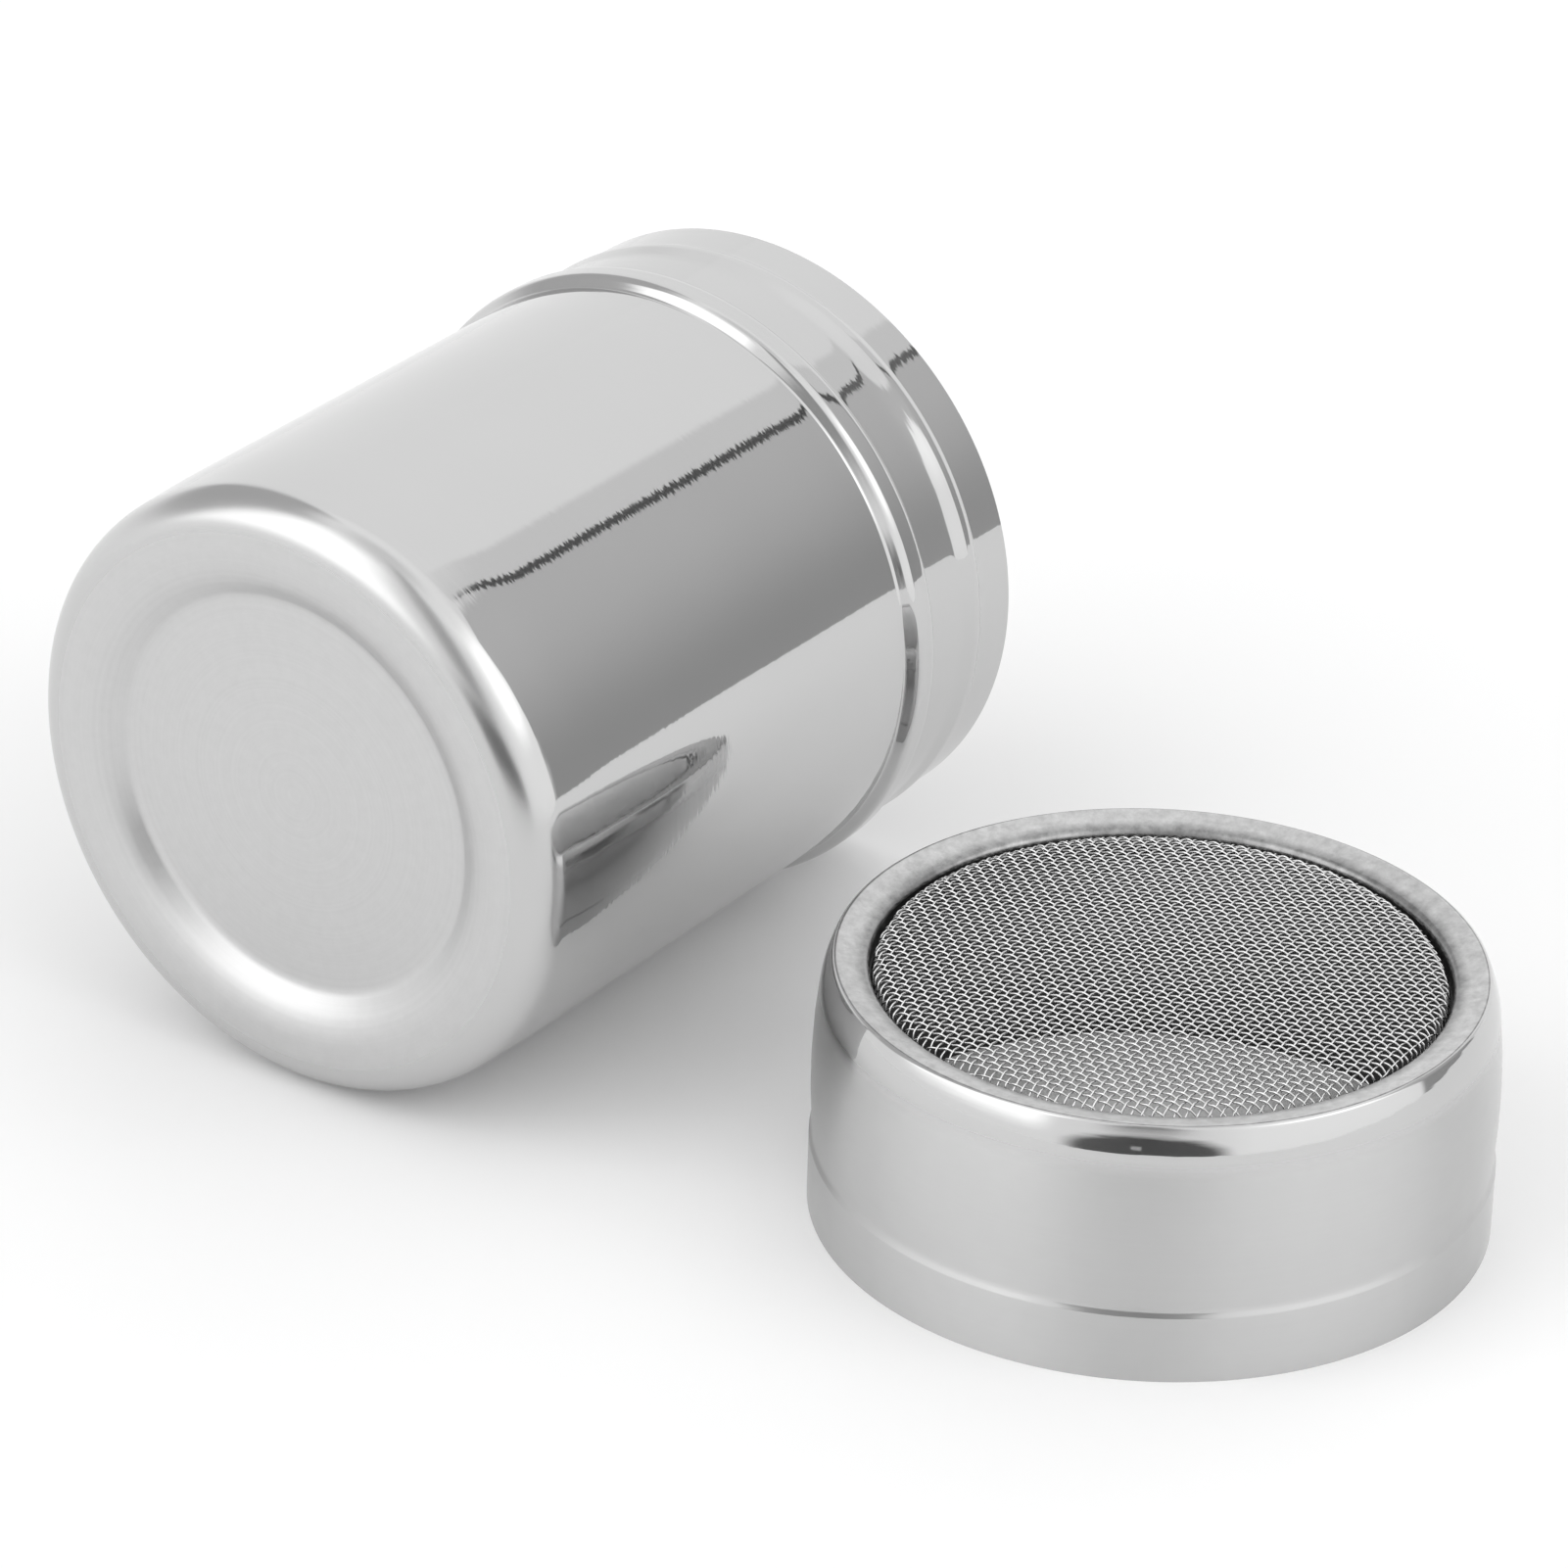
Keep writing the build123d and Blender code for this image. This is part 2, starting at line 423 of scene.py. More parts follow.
def spin_tree():
    """Tree that turns a closed outline into a body of revolution."""
    graph, given, result = new_tree("Spin outline", {"Steps": "Int", "Material": "Material"})
    outline = given.outputs["Geometry"]
    steps = Term(graph, given.outputs["Steps"])
    whole = {"Geometry": outline}
    count = graph.term("GeometryNodeAttributeDomainSize", "Point Count", None, whole)
    row = steps + 1
    grid = graph.add("GeometryNodeMeshGrid", None, {"Vertices X": count + 1, "Vertices Y": row})
    index = graph.term("GeometryNodeInputIndex")
    source = (index / row).floor() % count
    angle = (index % row) * (2 * math.pi) / steps

    def look_up(kind, value):
        looked = {"Geometry": outline, "Value": value, "Index": source}
        return graph.add("GeometryNodeSampleIndex", {"data_type": kind}, looked).outputs["Value"]

    place = look_up("FLOAT_VECTOR", graph.add("GeometryNodeInputPosition").outputs[0])
    part = graph.add("ShaderNodeSeparateXYZ", None, {0: place})
    radius = Term(graph, part.outputs["X"])
    swung = {"X": radius * angle.cos(), "Y": radius * angle.sin(), "Z": part.outputs["Z"]}
    spot = graph.add("ShaderNodeCombineXYZ", None, swung).outputs[0]
    moved = {"Geometry": grid.outputs["Mesh"], "Position": spot}
    body = graph.add("GeometryNodeSetPosition", None, moved).outputs[0]
    for name in ("along", "inside"):
        named = graph.add("GeometryNodeInputNamedAttribute", {"data_type": "FLOAT"}, {"Name": name})
        stored = {"Geometry": body, "Name": name, "Value": look_up("FLOAT", named.outputs[0])}
        store = graph.add("GeometryNodeStoreNamedAttribute", {"data_type": "FLOAT"}, stored)
        body = store.outputs[0]
    merged = {"Geometry": body, "Distance": MERGE_REACH}
    body = graph.add("GeometryNodeMergeByDistance", None, merged).outputs[0]
    body = graph.add("GeometryNodeRealizeInstances", None, {"Geometry": body}).outputs[0]
    painted = {"Geometry": body, "Material": given.outputs["Material"]}
    body = graph.add("GeometryNodeSetMaterial", None, painted).outputs[0]
    graph.feed(result.inputs[0], body)
    return graph.tree


SPIN = spin_tree()
print("spinning tree:", len(SPIN.nodes), "nodes")

# %% [markdown]
# ## From a tree to a plain mesh
# A modifier could stay on its object and make the mesh anew each time.  Here it runs once on an
# outline, or on nothing for the screen, and only its mesh is kept, with its place in its points.
# So every piece is an ordinary mesh that a body of the frame can carry.


# %% Run a tree once and keep its mesh
def make_piece(name, start_mesh, tree, values, place):
    """Run a modelling tree on a mesh and return a plain object with its place in its mesh."""
    carrier = bpy.data.objects.new(name + "_carrier", start_mesh)
    bpy.context.scene.collection.objects.link(carrier)
    modifier = carrier.modifiers.new("make", "NODES")
    modifier.node_group = tree
    for item in tree.interface.items_tree:
        if item.in_out == "INPUT" and item.name in values:
            modifier[item.identifier] = values[item.name]
    evaluated = carrier.evaluated_get(bpy.context.evaluated_depsgraph_get())
    mesh = bpy.data.meshes.new_from_object(evaluated)
    carrier.modifiers.remove(modifier)
    bpy.data.objects.remove(carrier)
    mesh.transform(place)
    mesh.name = name
    piece = bpy.data.objects.new(name, mesh)
    bpy.context.scene.collection.objects.link(piece)
    return piece


def outline_mesh(pen, thickness):
    """Closed outline of a sheet, with the way along it and a mark for its inner face."""
    ways = np.cumsum([0] + [(b - a).length for a, b in zip(pen.points, pen.points[1:])])
    inner = [
        point + Vector((-math.sin(heading), math.cos(heading))) * thickness
        for point, heading in zip(pen.points, pen.headings)
    ]
    ring = pen.points + inner[::-1]
    mesh = bpy.data.meshes.new("outline")
    spots = [(max(point.x, 0) * MM, 0, point.y * MM) for point in ring]
    mesh.from_pydata(spots, [(i, (i + 1) % len(ring)) for i in range(len(ring))], [])
    along = mesh.attributes.new("along", "FLOAT", "POINT")
    along.data.foreach_set("value", np.concatenate([ways, ways[::-1]]))
    inside = mesh.attributes.new("inside", "FLOAT", "POINT")
    inside.data.foreach_set("value", [0.0] * len(ways) + [1.0] * len(ways))
    return mesh


SPIN_STEPS = 256
SHARP_ANGLE = math.radians(30)


def spun_piece(name, pen, material, place):
    """Body of revolution made from a sheet's outline."""
    values = {"Steps": SPIN_STEPS, "Material": material}
    piece = make_piece(name, outline_mesh(pen, SHEET), SPIN, values, place)
    piece.data.shade_smooth()
    piece.data.set_sharp_from_angle(angle=SHARP_ANGLE)
    return piece


print("steps round the axis:", SPIN_STEPS)

# %% [markdown]
# ## Three finishes of one steel
# The sheet is the same grey steel everywhere, and only its finish differs, except where shade is
# painted in: inside the lid, on its lip, and on the flange near the rim and the window.  Outside it
# is mop-polished.  The base and the flange, which a mop barely reaches, are satin with fine rings.
# Inside, the sheet is left as drawn.  A painted texture could be wrapped round it, but steel
# has hardly any pattern of its own, so all of it is shader sums over smooth noise.

# %% Helpers for steel
STEEL = 0.56


def new_material(name):
    material = bpy.data.materials.new(name)
    material.use_nodes = True
    material.node_tree.nodes.clear()
    return material, Graph(material.node_tree)


def noise(graph, vector, scale, detail=2.0, roughness=0.5):
    """Soft noise from 0 to 1 at this many cells per metre, or per unit of the vector."""
    sockets = {"Vector": vector, "Scale": scale, "Detail": detail, "Roughness": roughness}
    return graph.term("ShaderNodeTexNoise", "Fac", {"noise_dimensions": "3D"}, sockets)


def attribute(graph, name):
    return graph.term("ShaderNodeAttribute", "Fac", {"attribute_name": name})


def grey(graph, value):
    """Neutral colour from a number."""
    return graph.add("ShaderNodeCombineColor", None, {0: value, 1: value, 2: value}).outputs[0]


def rings(graph, along, lines_per_mm):
    """Fine lines that run round the axis: noise that changes only with the way along."""
    sockets = {"X": along * lines_per_mm, "Y": 0.0, "Z": 0.0}
    vector = graph.add("ShaderNodeCombineXYZ", None, sockets)
    return noise(graph, vector.outputs[0], 1.0, 3.0, 0.6)


def bumped(graph, relief):
    """Normal that follows a relief given in millimetres."""
    sockets = {"Strength": 1.0, "Distance": 1.0, "Height": relief * MM}
    return graph.add("ShaderNodeBump", None, sockets).outputs[0]


def steel_shader(graph, shade, rough, normal, smear=0.0, turn=0.0):
    """Bare metal; smear stretches its reflections, and turn sets which way."""
    sockets = {
        "Base Color": grey(graph, shade), "Metallic": 1.0, "Roughness": rough, "Normal": normal,
        "Anisotropic": smear, "Anisotropic Rotation": turn,
    }
    return graph.add("ShaderNodeBsdfPrincipled", None, sockets).outputs[0]


def show(graph, shader):
    """Make this shader the material's surface."""
    graph.feed(graph.add("ShaderNodeOutputMaterial").inputs["Surface"], shader)


print("steel's grey:", STEEL)

# %% [markdown]
# ## Mop-polished sheet
# A mop that turns against the spinning sheet leaves fine lines round the axis.  They smear
# reflections across themselves, so along the axis.  One rough shader would blur everything
# alike, and one mirror would look like glass, so a clear mirror and a smeared one are mixed.
# The haze thins out where the lid's wall turns into its shoulder, and the cup's base edge is
# duller than its wall.  The sheet is never quite flat either: two slow waves let straight
# reflections waver, and a fine grain frays them.

# %% Polished finish
MIRROR_ROUGH = 0.03
STREAK_ROUGH = 0.42
STREAK_SMEAR = 0.9
DULL_ROUGH = 0.2
DULL_FADE = 3.0
NOWHERE = -5.0
MOP_LINES_PER_MM = 1.8
CLOUD_CELLS = 60
LONG_WAVE = {"cells": 45, "relief": 0.03}
SHORT_WAVE = {"cells": 170, "relief": 0.0022}
LINE_RELIEF = 0.003
GRAIN_RELIEF = 0.006


def grain(graph, spot, cells):
    """Noise with its own number of cells per metre along x, y and z."""
    sockets = {0: spot, 1: cells}
    stretched = graph.add("ShaderNodeVectorMath", {"operation": "MULTIPLY"}, sockets)
    return noise(graph, stretched.outputs[0], 1.0, 1.0)


def slow_wave(graph, spot, size):
    """Relief of a slow wave in the sheet."""
    return noise(graph, spot, size["cells"], 0.0) * size["relief"]


def polished(name, haze, fade, dull_below, turn, cells):
    """Mop-polished sheet: its haze changes over a fade, and it is duller below a way along."""
    material, graph = new_material(name)
    spot = graph.add("ShaderNodeTexCoord").outputs["Object"]
    along = attribute(graph, "along")
    lines = rings(graph, along, MOP_LINES_PER_MM)
    cloud = noise(graph, spot, CLOUD_CELLS, 3)
    dull = 1 - graph.step(along, dull_below, dull_below + DULL_FADE)
    waver = slow_wave(graph, spot, LONG_WAVE) + slow_wave(graph, spot, SHORT_WAVE)
    relief = waver + lines * LINE_RELIEF + grain(graph, spot, cells) * GRAIN_RELIEF
    normal = bumped(graph, relief)
    shade = STEEL + cloud * 0.02 + lines * 0.02
    mirror = steel_shader(graph, shade, MIRROR_ROUGH + lines * 0.02 + dull * DULL_ROUGH, normal)
    streak = steel_shader(graph, shade, STREAK_ROUGH, normal, STREAK_SMEAR, turn)
    amount = haze[0] + graph.step(along, fade[0], fade[1]) * (haze[1] - haze[0])
    blend = (cloud * 0.3 + 0.85) * amount
    mixed = graph.add("ShaderNodeMixShader", None, {0: blend, 1: mirror, 2: streak})
    show(graph, mixed.outputs[0])
    return material


cup_polish = polished(
    "cup_polish", haze=(0.12, 0.2), fade=(100.0, 104.0), dull_below=34.5, turn=0.0,
    cells=(1700, 330, 330),
)
lid_polish = polished(
    "lid_polish", haze=(0.6, 0.15), fade=(23.0, 25.5), dull_below=NOWHERE, turn=0.25,
    cells=(330, 330, 1600),
)
print("polished:", cup_polish.name, lid_polish.name)

# %% [markdown]
# ## Turned satin
# The panel in the base and the lid's flange keep fine rings from the lathe.  One shader of
# middling roughness is enough, with noise that changes only with the way along for the rings.
# The flange is mottled as well.  A dark line is painted in where it leaves the rim, and painted
# shade darkens it at the window, where its edge turns down.

# %% Satin finish
# Where the flange's painted dark line sits, and where its painted shade towards the window starts.
PAINTED_LINE_START = flange_way - 0.4
PAINTED_LINE_DEPTH = 0.3
SHADE_START = lip_way - 1.2
SHADE_WIDTH = 1.4
SHADE_DEPTH = 0.22
TURNED_LINES_PER_MM = 2.2
MOTTLE_CELLS = 700
DENT_CELLS = 90
TURNED_RELIEF = 0.005
MOTTLE_RELIEF = 0.004
DENT_RELIEF = 0.01


def base_tone(graph, along):
    """Grey of the base, the same all over."""
    return STEEL - 0.01


def flange_tone(graph, along):
    """Grey of the flange with painted shade: a dark line where it leaves the rim, and darker
    towards the window.
    """
    # Painted dark line, standing for shade and dark reflection in the bend where the flange leaves
    # the rim.
    painted_line = graph.step(along, PAINTED_LINE_START, PAINTED_LINE_START + 0.1)
    painted_line = painted_line * (1 - graph.step(along, PAINTED_LINE_START + 0.15, PAINTED_LINE_START + 0.3))
    # Painted shade that darkens the flange towards the window.
    window = graph.step(along, SHADE_START, SHADE_START + SHADE_WIDTH)
    return STEEL - 0.07 - painted_line * PAINTED_LINE_DEPTH - window * SHADE_DEPTH


def satin(name, rough, mottle, tone):
    """Turned satin: rings and mottles over a tone."""
    material, graph = new_material(name)
    spot = graph.add("ShaderNodeTexCoord").outputs["Object"]
    along = attribute(graph, "along")
    lines = rings(graph, along, TURNED_LINES_PER_MM)
    cloud = noise(graph, spot, MOTTLE_CELLS, 4, 0.7)
    dents = noise(graph, spot, DENT_CELLS, 1.0)
    relief = lines * TURNED_RELIEF + cloud * MOTTLE_RELIEF + dents * DENT_RELIEF
    normal = bumped(graph, relief)
    shade = tone(graph, along) + lines * 0.08 + (cloud - 0.5) * mottle
    show(graph, steel_shader(graph, shade, rough + lines * 0.08 + cloud * 0.1, normal))
    return material


base_satin = satin("base_satin", rough=0.26, mottle=0.06, tone=base_tone)
flange_satin = satin("flange_satin", rough=0.22, mottle=0.5, tone=flange_tone)
print("satin:", base_satin.name, flange_satin.name)

# %% [markdown]
# ## Sheet and wire as drawn
# Nobody polishes the inside, so it keeps the dull skin that drawing leaves.  Inside the lid the
# grey is set much darker than steel, as painted shade: under the screen there would be a deep cup,
# and its holes have to read dark.  Wire comes bright from its die, with a little haze.

# %% Drawn finishes
SHEET_ROUGH = 0.34
WIRE_ROUGH = 0.12
WIRE_STEEL = 0.72


def as_drawn(name, shade):
    """Dull inside of the sheet, in a given grey: the steel's own, or a much darker one that paints
    in shade.
    """
    material, graph = new_material(name)
    spot = graph.add("ShaderNodeTexCoord").outputs["Object"]
    cloud = noise(graph, spot, 150, 4)
    normal = bumped(graph, cloud * 0.004)
    show(graph, steel_shader(graph, shade + cloud * 0.04, SHEET_ROUGH + cloud * 0.1, normal))
    return material


def drawn_wire():
    """Bright drawn wire with a little haze."""
    material, graph = new_material("drawn_wire")
    spot = graph.add("ShaderNodeTexCoord").outputs["Object"]
    haze = noise(graph, spot, 900, 2)
    normal = bumped(graph, haze * 0.002)
    shade = WIRE_STEEL + haze * 0.1
    show(graph, steel_shader(graph, shade, WIRE_ROUGH + haze * 0.08, normal))
    return material


cup_inside = as_drawn("cup_inside", shade=0.42)
# Painted shade: the lid's inside, its lip, the hem and the ring take a near-black grey, far darker
# than steel, so the screen's holes read dark.
shade_dark_steel = as_drawn("drawn_steel_painted_shade", shade=0.07)
wire_steel = drawn_wire()
print("drawn:", cup_inside.name, shade_dark_steel.name, wire_steel.name)

# %% [markdown]
# ## Which finish goes where
# The two numbers that travel with the sheet settle it.  Every face takes the first finish in a
# list whose side and stretch of `along`, in millimetres, hold the face's middle.

# %% Lay the finishes on
INNER_SHARE = 0.25


def finish_zones(piece, zones):
    """Give each face the first finish whose zone holds it: (material, inside, from, to)."""
    mesh = piece.data
    loops = np.zeros(len(mesh.loops), dtype=np.int32)
    mesh.loops.foreach_get("vertex_index", loops)
    starts = np.zeros(len(mesh.polygons), dtype=np.int32)
    mesh.polygons.foreach_get("loop_start", starts)
    counts = np.zeros(len(mesh.polygons), dtype=np.int32)
    mesh.polygons.foreach_get("loop_total", counts)
    middle = {}
    for name in ("along", "inside"):
        values = np.zeros(len(mesh.vertices))
        mesh.attributes[name].data.foreach_get("value", values)
        middle[name] = np.add.reduceat(values[loops], starts) / counts
    choice = np.full(len(starts), -1)
    mesh.materials.clear()
    for i, (material, inside, low, high) in enumerate(zones):
        mesh.materials.append(material)
        fits = (middle["inside"] > INNER_SHARE) == inside
        fits &= (middle["along"] >= low) & (middle["along"] <= high)
        choice[(choice < 0) & fits] = i
    mesh.polygons.foreach_set("material_index", np.maximum(choice, 0).astype(np.int32))
    print(piece.name, "faces by finish:", np.bincount(np.maximum(choice, 0)).tolist())


print("a face counts as inside above", INNER_SHARE)

# %% [markdown]
# ## Cup and lid
# Each is one piece of sheet, so each is one turned body.  The cup's satin ends on the round of its
# base edge.  On the lid, satin covers the flange, and the down-turned edge past it takes the same
# near-black painted shade as the lid's inside.

# %% Cup and lid
BASE_END = 31.0
FLANGE_START = flange_way - 0.3
FLANGE_END = lip_way + 1.1
SHEET_START = -1.0
SHEET_END = 500.0
cup_piece = spun_piece("cup_sheet", cup_line, cup_polish, cup_frame)
lid_piece = spun_piece("lid_sheet", lid_line, lid_polish, lid_frame)
finish_zones(cup_piece, [
    (cup_polish, False, BASE_END, SHEET_END),
    (base_satin, False, SHEET_START, BASE_END),
    (cup_inside, True, SHEET_START, SHEET_END),
])
finish_zones(lid_piece, [
    (lid_polish, False, SHEET_START, FLANGE_START),
    (flange_satin, False, SHEET_START, FLANGE_END),
    # Painted shade: the outer face of the lip past the flange gets the near-black steel of the
    # inside.
    (shade_dark_steel, False, SHEET_START, SHEET_END),
    (shade_dark_steel, True, SHEET_START, SHEET_END),
])

# %% [markdown]
# ## Which way the cup's haze smears
# Without a UV map, a shader takes the way of its smear from the mesh's texture space: round the
# space's Z axis.  That suits the upright lid.  For the cup, which lies along X, the space is
# stretched a thousandfold along X, and the smear's way then follows the cup.

# %% Way of the smear on the cup
cup_piece.data.use_auto_texspace = False
cup_piece.data.texspace_location = cup_place
cup_piece.data.texspace_size = (1000, 1, 1)
print("texture space of the cup:", [round(v) for v in cup_piece.data.texspace_size])

# %% [markdown]
# ## The woven screen
# The screen is plain weave: each wire passes over one crossing wire and under the next, and the
# whole cloth is pressed into a shallow crown that stands up through the lid's window.  One
# tree makes one set of parallel wires.  It lays out straight wires, moves their points onto
# the crown and adds the wave of the weave along the crown's normal.  The second set is the
# same tree turned a quarter, with its wave upside down, so the sets interlock.  A wire's points
# crowd a little towards its ends, where it bends down to the hem.  The crown is a little lower
# than the solid's, and its corner is tighter.

# %% Weaving tree
WIRE = 0.21
PITCH = 0.94
WIRES = 63
WIRE_POINTS = 240
WEAVE_TURN = math.radians(3.0)
WIRE_SIDES = 6
EVEN_SHARE = 0.7
CROWDED_SHARE = 0.3
CROWN = 29.9
CROWN_RISE = 2.1
CROWN_DOME = 1.6
CROWN_POWER = 60.0
SEAT_GAP = 0.02
hem_top = lid_line.place.y - SEAT_GAP


def weave_tree():
    """Tree that makes parallel wires, waved and pressed into the crown."""
    sizes = ["Wire", "Pitch", "Crown", "Rise", "Dome", "Power", "Turn", "Over"]
    inputs = {"Wires": "Int", "Points": "Int", "Material": "Material"}
    inputs.update({label: "Float" for label in sizes})
    graph, given, result = new_tree("Weave wires", inputs)
    size = {label: Term(graph, given.outputs[label]) for label in sizes}
    points = Term(graph, given.outputs["Points"])
    wires = Term(graph, given.outputs["Wires"])

    line = graph.add("GeometryNodeCurvePrimitiveLine").outputs[0]
    sockets = {"Curve": line, "Count": points}
    straight = graph.add("GeometryNodeResampleCurve", None, sockets).outputs[0]
    row = graph.add("GeometryNodeMeshLine", None, {"Count": wires}).outputs[0]
    sockets = {"Points": row, "Instance": straight}
    laid = graph.add("GeometryNodeInstanceOnPoints", None, sockets).outputs[0]
    laid = graph.add("GeometryNodeRealizeInstances", None, {"Geometry": laid}).outputs[0]

    index = graph.term("GeometryNodeInputIndex")
    number = (index / points).floor() - (wires - 1) / 2
    share = (index % points) / (points - 1) * 2 - 1
    across = number * size["Pitch"]
    reach = (size["Crown"] ** 2 - across ** 2).sqrt()
    crowded = (share * (math.pi / 2)).sin()
    ahead = reach * (share * EVEN_SHARE + crowded * CROWDED_SHARE)

    radius = (across ** 2 + ahead ** 2).sqrt().at_least(0.01 * MM)
    part = (radius / size["Crown"]).at_most(1.0)
    side = (1 - part ** size["Power"]).at_least(1e-5).sqrt()
    height = size["Rise"] * side + size["Dome"] * (1 - part ** 2)
    fall = size["Rise"] * size["Power"] * part ** (size["Power"] - 1) / (side * 2)
    fall = (fall + size["Dome"] * part * 2) / size["Crown"]
    wave = (ahead / size["Pitch"] + number) * math.pi
    lift = wave.cos() * size["Over"] * size["Wire"] / 2
    steep = (1 + fall ** 2).sqrt()
    outward = lift * fall / steep / radius + 1

    spot = graph.add("ShaderNodeCombineXYZ", None, {
        "X": ahead * outward, "Y": across * outward, "Z": height + lift / steep,
    }).outputs[0]
    turned = {"Vector": spot, "Angle": size["Turn"]}
    spot = graph.add("ShaderNodeVectorRotate", {"rotation_type": "Z_AXIS"}, turned).outputs[0]
    placed = {"Geometry": laid, "Position": spot}
    woven = graph.add("GeometryNodeSetPosition", None, placed).outputs[0]
    round_wire = {"Resolution": WIRE_SIDES, "Radius": size["Wire"] / 2}
    section = graph.add("GeometryNodeCurvePrimitiveCircle", None, round_wire).outputs[0]
    swept = {"Curve": woven, "Profile Curve": section, "Fill Caps": True}
    body = graph.add("GeometryNodeCurveToMesh", None, swept).outputs[0]
    body = graph.add("GeometryNodeRealizeInstances", None, {"Geometry": body}).outputs[0]
    painted = {"Geometry": body, "Material": given.outputs["Material"]}
    body = graph.add("GeometryNodeSetMaterial", None, painted).outputs[0]
    graph.feed(result.inputs[0], body)
    return graph.tree


WEAVE = weave_tree()
screen_frame = lid_frame @ Matrix.Translation((0, 0, hem_top * MM))
print("weaving tree:", len(WEAVE.nodes), "nodes")


def wire_set(name, turn, over):
    """One set of parallel wires."""
    values = {
        "Wires": WIRES, "Points": WIRE_POINTS, "Material": wire_steel,
        "Wire": WIRE * MM, "Pitch": PITCH * MM, "Crown": CROWN * MM, "Rise": CROWN_RISE * MM,
        "Dome": CROWN_DOME * MM, "Power": CROWN_POWER, "Turn": turn, "Over": over,
    }
    piece = make_piece(name, bpy.data.meshes.new("empty"), WEAVE, values, screen_frame)
    piece.data.shade_smooth()
    return piece


warp = wire_set("screen_warp", WEAVE_TURN, 1.0)
weft = wire_set("screen_weft", WEAVE_TURN + math.pi / 2, -1.0)
for piece in (warp, weft):
    print(piece.name, "triangles", sum(len(p.vertices) - 2 for p in piece.data.polygons))

# %% [markdown]
# ## The screen's hem
# The cloth is pressed flat at its edge, and the ring inside the lid clamps that hem under the
# flange.  Hardly any of it can be seen, so it is a plain flat ring from the spinning tree, and it
# closes the gap between wires and flange.  It takes the near-black painted shade of the lid's
# inside, so the gap reads as shadow.

# %% Screen hem
HEM_IN = 29.05
HEM_OUT = 31.6
hem_line = Pen(HEM_OUT, hem_top, 180).run(HEM_OUT - HEM_IN)
# Painted shade: the hem is near-black so that it reads as the shadowed gap under the flange.
hem_piece = spun_piece("screen_hem", hem_line, shade_dark_steel, lid_frame)
print("hem from", HEM_IN, "to", HEM_OUT, "mm")

# %% [markdown]
# ## Dressing the frame
# Each sheet stands in for its solid node, and the wires and the hem together stand in for the
# screen.  The retaining ring can hardly be seen, so its solid stays and only takes the near-black
# painted-shade steel of the lid's inside.

# %% Dress the frame
# Painted shade: the retaining ring takes the near-black steel of the lid's inside.
ring_paint = frame["nodes"]["retaining_ring"].data.materials
ring_paint.clear()
ring_paint.append(shade_dark_steel)
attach(cup_piece, "cup")
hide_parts("cup")
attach(lid_piece, "lid")
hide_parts("lid_shell")
for piece in (warp, weft, hem_piece):
    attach(piece, "lid")
    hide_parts("mesh_screen")
print("dressed:", [piece.name for piece in (cup_piece, lid_piece, warp, weft, hem_piece)])

# %% [markdown]
# ## The studio
# A mirror shows its surroundings, so the sky is part of the finish.  It is a white tent, and
# everything in it is a patch of sky given by its heading and height in degrees.  Two bright
# panels stand left and right of the camera, and a dimmer card stands at the far left.  Past the
# right panel comes a grey wall, which the cup's body mirrors, with a dark seam and a pale strip
# at its far edge.  A grey card hangs above the camera.  Below it is a dark oval with a pale
# spot, where someone taking the view would stand.  All of these show up in the steel only: what
# the camera itself sees past the floor is plain white.
#
# A panel is written as the heading and height of its middle, its half width and half height,
# how soft its edges are, and its light.

# %% Sky
TENT_LIGHT = 1.1
PANELS = {
    "far card": ((86, 38), (33, 26), (6, 8), 0.56),
    "right glow": ((-86, 28), (37, 35), (10, 9), 1.25),
    "right panel": ((-82, 37), (22, 15), (18, 9), 2.2),
    "left panel": ((149, 36), (27, 28), (6, 8), 2.0),
    "pale strip": ((-17, 31), (7.7, 19), (1.6, 4), 0.88),
}
WALL = ((-37, 18), (15.2, 28), (1.5, 1.5))
WALL_LIGHT = 0.36
WALL_RISE = 0.3
WALL_TOP = 42
DARK_PANELS = {
    "seam": ((-21.8, 30), (1.25, 17), (0.2, 1), 0.02),
    "camera card": ((-150, 48), (13, 32), (8, 8), 0.4),
}
OVAL_PLACE = (-150, -2)
OVAL_HALF = (28, 17)
OVAL_LIGHT = 0.03
SPOT = ((-153, 2), (1.6, 1.4), (0.4, 0.4))
SPOT_LIGHT = 0.5
BACKDROP_LIGHT = 1.0


def patch(graph, heading, height, place, half, soft):
    """Mask of a rectangular patch of sky, round place, with half sizes and soft edges."""
    turn = abs((heading - place[0] + 540) % 360 - 180)
    beside = 1 - graph.step(turn, half[0] - soft[0], half[0] + soft[0])
    above = 1 - graph.step(abs(height - place[1]), half[1] - soft[1], half[1] + soft[1])
    return beside * above


def oval(graph, heading, height):
    """Mask of the oval below the camera."""
    beside = (heading - OVAL_PLACE[0]) / OVAL_HALF[0]
    above = (height - OVAL_PLACE[1]) / OVAL_HALF[1]
    return 1 - graph.step((beside ** 2 + above ** 2).sqrt(), 0.72, 1.06)


def paint(below, mask, value):
    """Lay a value over what is below, where the mask says so."""
    return below * (1 - mask) + mask * value


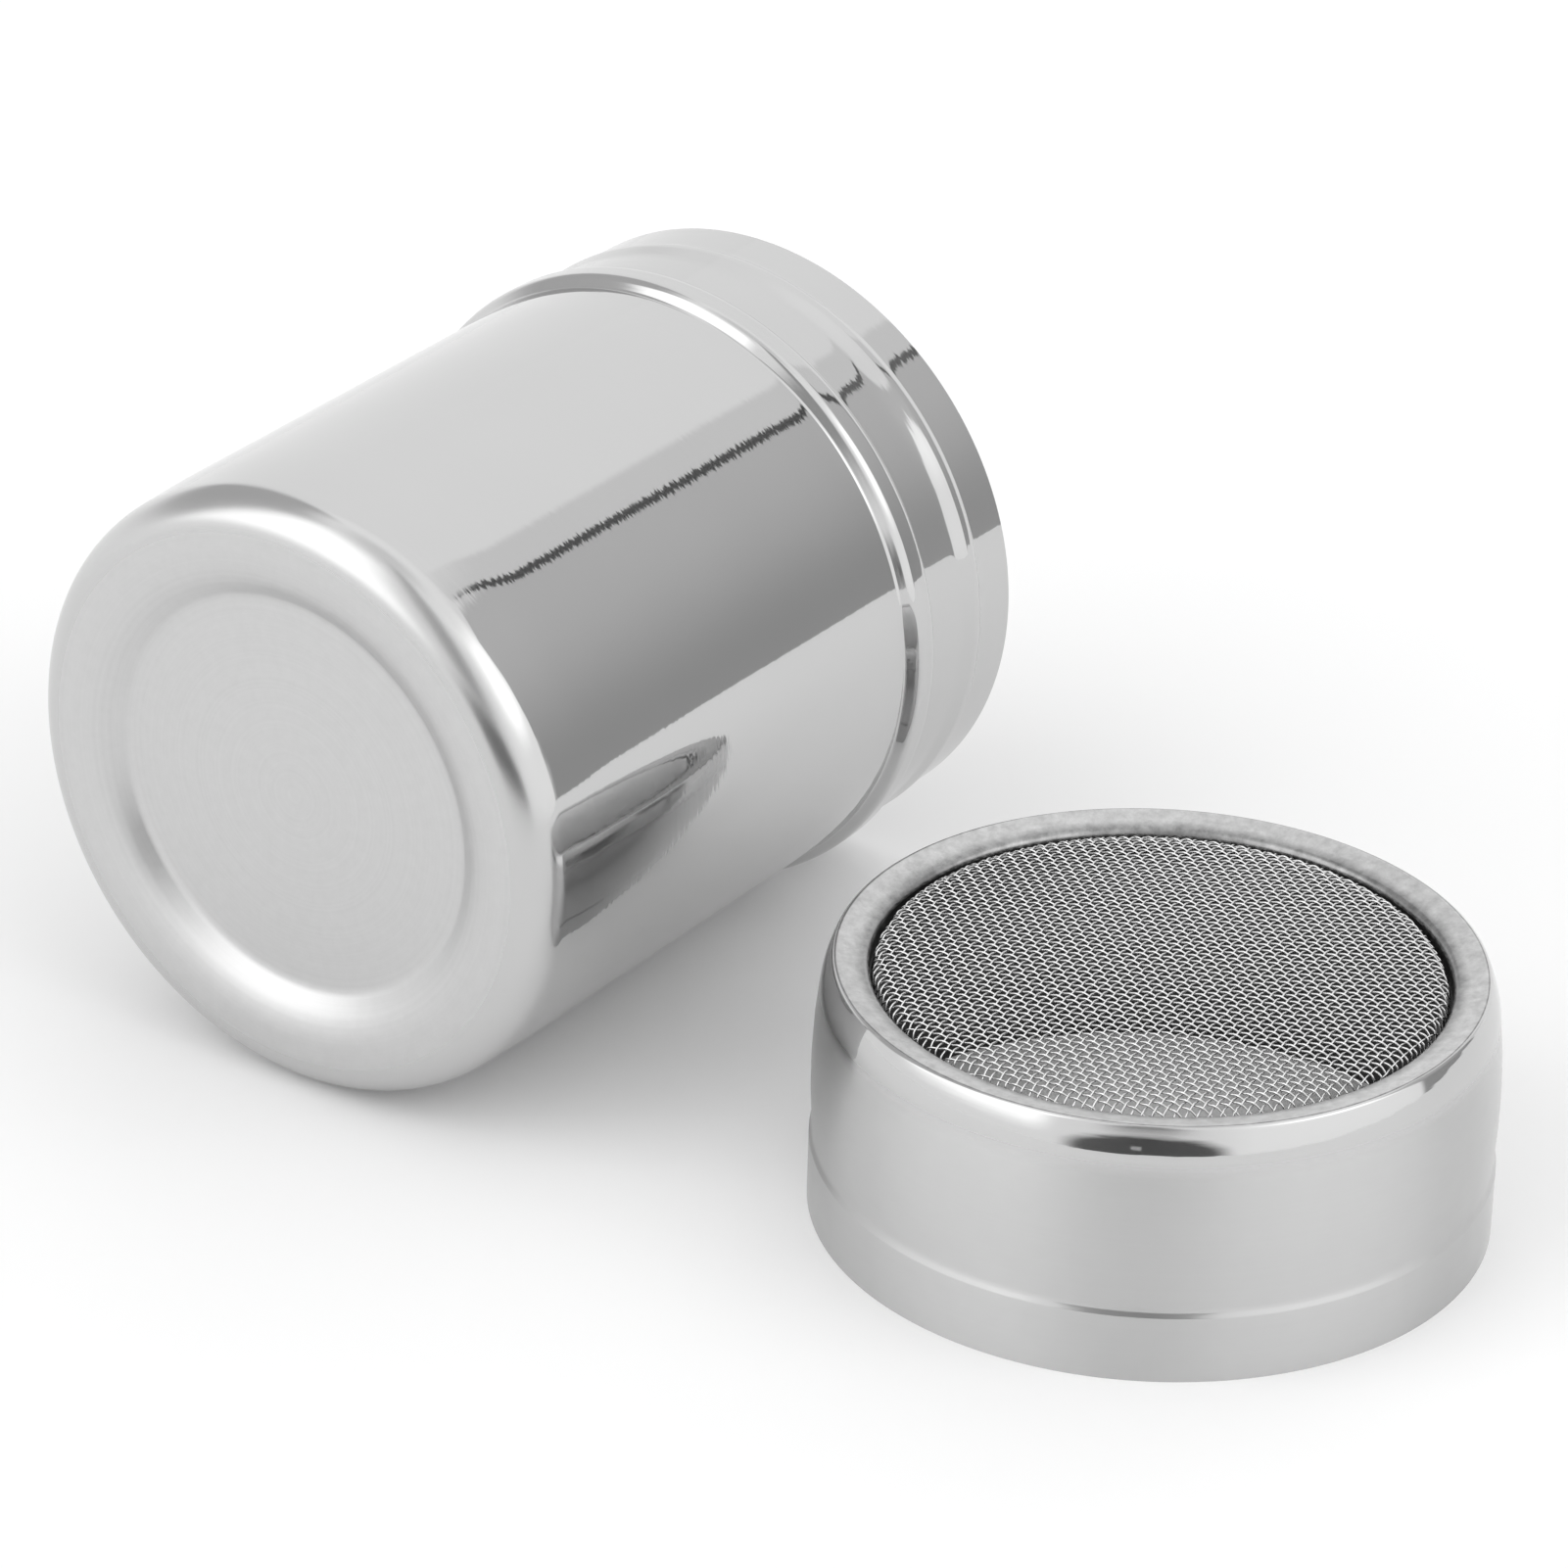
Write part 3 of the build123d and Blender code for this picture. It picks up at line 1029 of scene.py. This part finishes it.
def add_sky():
    """World whose light depends on the way it is looked at."""
    world = bpy.data.worlds.new("studio")
    world.use_nodes = True
    world.node_tree.nodes.clear()
    graph = Graph(world.node_tree)
    way = graph.add("ShaderNodeTexCoord").outputs["Generated"]
    part = graph.add("ShaderNodeSeparateXYZ", None, {0: way})
    x, y, z = (Term(graph, part.outputs[i]) for i in range(3))
    heading = x.math("ARCTAN2", y, x) * (180 / math.pi)
    height = z.math("ARCSINE", z) * (180 / math.pi)

    def sky_patch(place, half, soft):
        return patch(graph, heading, height, place, half, soft)

    light = TENT_LIGHT + graph.step(height, 50, 62) * 0.1 - graph.step(height, 68, 84) * 0.3
    for place, half, soft, value in PANELS.values():
        light = paint(light, sky_patch(place, half, soft), value)
    wall = WALL_LIGHT + graph.step(height, 0, WALL_TOP) * WALL_RISE
    light = paint(light, sky_patch(*WALL), wall)
    for place, half, soft, value in DARK_PANELS.values():
        light = paint(light, sky_patch(place, half, soft), value)
    light = paint(light, oval(graph, heading, height), OVAL_LIGHT)
    light = paint(light, sky_patch(*SPOT), SPOT_LIGHT)
    light = paint(light, graph.term("ShaderNodeLightPath", "Is Camera Ray"), BACKDROP_LIGHT)
    shader = graph.add("ShaderNodeBackground", None, {"Color": grey(graph, light), "Strength": 1.0})
    output = graph.add("ShaderNodeOutputWorld")
    graph.feed(output.inputs["Surface"], shader.outputs[0])
    bpy.context.scene.world = world
    return world


print("sky nodes:", len(add_sky().node_tree.nodes))

# %% [markdown]
# ## The floor
# A pale square that is wider than the view.  It glows a little, so that the shadow between the
# two pieces stays soft.  Colours are shown as they are, without a film look.

# %% Floor and colour
FLOOR_HALF = 0.38
FLOOR_GREY = (0.9, 0.9, 0.9, 1)
FLOOR_GLOW = 0.03


def add_floor():
    """Square floor under the middle of the frame, in metres."""
    mesh = bpy.data.meshes.new("floor")
    corners = [(-1, -1), (1, -1), (1, 1), (-1, 1)]
    mesh.from_pydata([(x * FLOOR_HALF, y * FLOOR_HALF, 0) for x, y in corners], [], [(0, 1, 2, 3)])
    material, graph = new_material("floor")
    shader = graph.add("ShaderNodeBsdfPrincipled", None, {
        "Base Color": FLOOR_GREY, "Roughness": 0.9,
        "Emission Color": (1, 1, 1, 1), "Emission Strength": FLOOR_GLOW,
    })
    show(graph, shader.outputs[0])
    mesh.materials.append(material)
    floor = bpy.data.objects.new("floor", mesh)
    bpy.context.scene.collection.objects.link(floor)
    return floor


print("floor:", [round(v, 2) for v in add_floor().dimensions], "m")
bpy.context.scene.view_settings.view_transform = "Standard"
bpy.context.scene.view_settings.look = "None"
